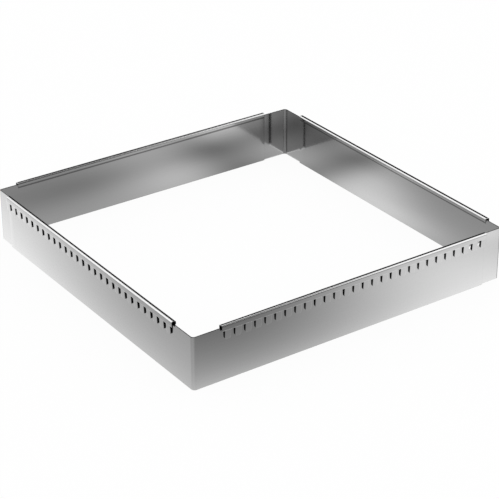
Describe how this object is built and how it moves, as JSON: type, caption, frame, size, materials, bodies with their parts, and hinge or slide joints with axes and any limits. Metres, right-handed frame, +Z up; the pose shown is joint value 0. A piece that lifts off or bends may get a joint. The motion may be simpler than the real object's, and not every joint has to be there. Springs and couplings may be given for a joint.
{
  "type": "adjustable pastry frame",
  "caption": "Square stainless pastry frame of bent corner sheets that slide in each other, with toothed top rails and locking studs to set its size.",
  "frame": {"origin": "on the table, under the middle of the closed frame", "axes": "+Z up; the front plain corner points to -X -Y, and the walls lie along X and Y"},
  "size_m": [0.33, 0.33, 0.0515],
  "materials": {
    "sheet_steel": "satin stainless sheet, nearly mirror at a shallow angle",
    "rail_steel": "bright rolled stainless strip",
    "stud_steel": "polished stainless stud"
  },
  "bodies": {
    "front": {"front_plain_corner": "sheet_steel", "front_stud_right_1": "stud_steel", "front_stud_right_2": "stud_steel", "front_stud_left_1": "stud_steel", "front_stud_left_2": "stud_steel"},
    "left": {"left_railed_corner": "sheet_steel", "left_rail_to_front": "rail_steel", "left_rail_to_back": "rail_steel"},
    "right": {"right_railed_corner": "sheet_steel", "right_rail_to_back": "rail_steel", "right_rail_to_front": "rail_steel"},
    "back": {"back_plain_corner": "sheet_steel", "back_stud_left_1": "stud_steel", "back_stud_left_2": "stud_steel", "back_stud_right_1": "stud_steel", "back_stud_right_2": "stud_steel"}
  },
  "joints": [
    {"name": "left_slide", "type": "slide", "parent": "front", "child": "left", "axis": [0, 1, 0], "range_m": [0, 0.25]},
    {"name": "right_slide", "type": "slide", "parent": "front", "child": "right", "axis": [1, 0, 0], "range_m": [0, 0.25]},
    {"name": "back_slide", "type": "slide", "parent": "left", "child": "back", "axis": [1, 0, 0], "range_m": [0, 0.25]}
  ],
  "couplings": [
    {"joint": "back_slide", "follows": "right_slide", "ratio": 1}
  ]
}
